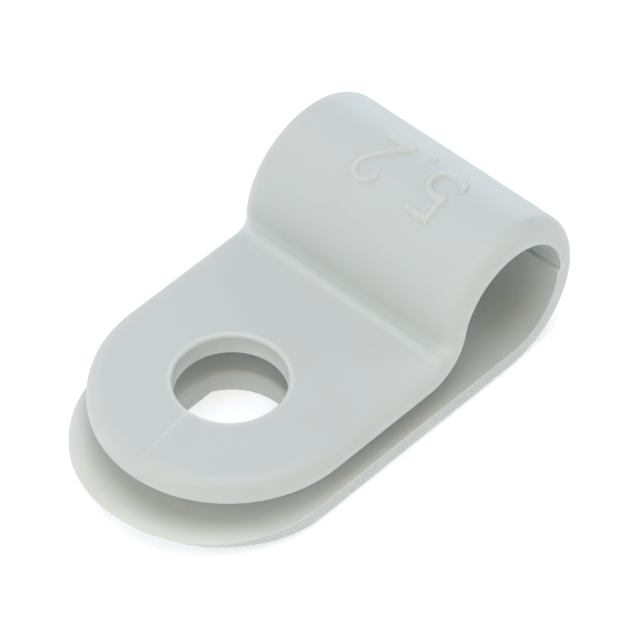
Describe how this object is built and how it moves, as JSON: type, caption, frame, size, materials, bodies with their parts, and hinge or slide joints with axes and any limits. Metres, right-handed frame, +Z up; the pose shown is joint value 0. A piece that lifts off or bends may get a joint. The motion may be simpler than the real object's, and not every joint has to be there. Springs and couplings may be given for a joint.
{
  "type": "p clip",
  "caption": "Moulded nylon strap bent into a cable loop, its tabs left standing open to be screwed down together beside the cable.",
  "frame": {"origin": "on the screw hole's axis, in the plane of the bottom face that the clip is screwed down on", "axes": "+X from the screw hole to the cable loop, Y along the cable, +Z up along the screw, towards its head"},
  "size_m": [0.0191, 0.0104, 0.0069],
  "materials": {
    "nylon": "natural nylon, satin from the mould"
  },
  "bodies": {
    "root": {"clip": "nylon"}
  },
  "joints": []
}
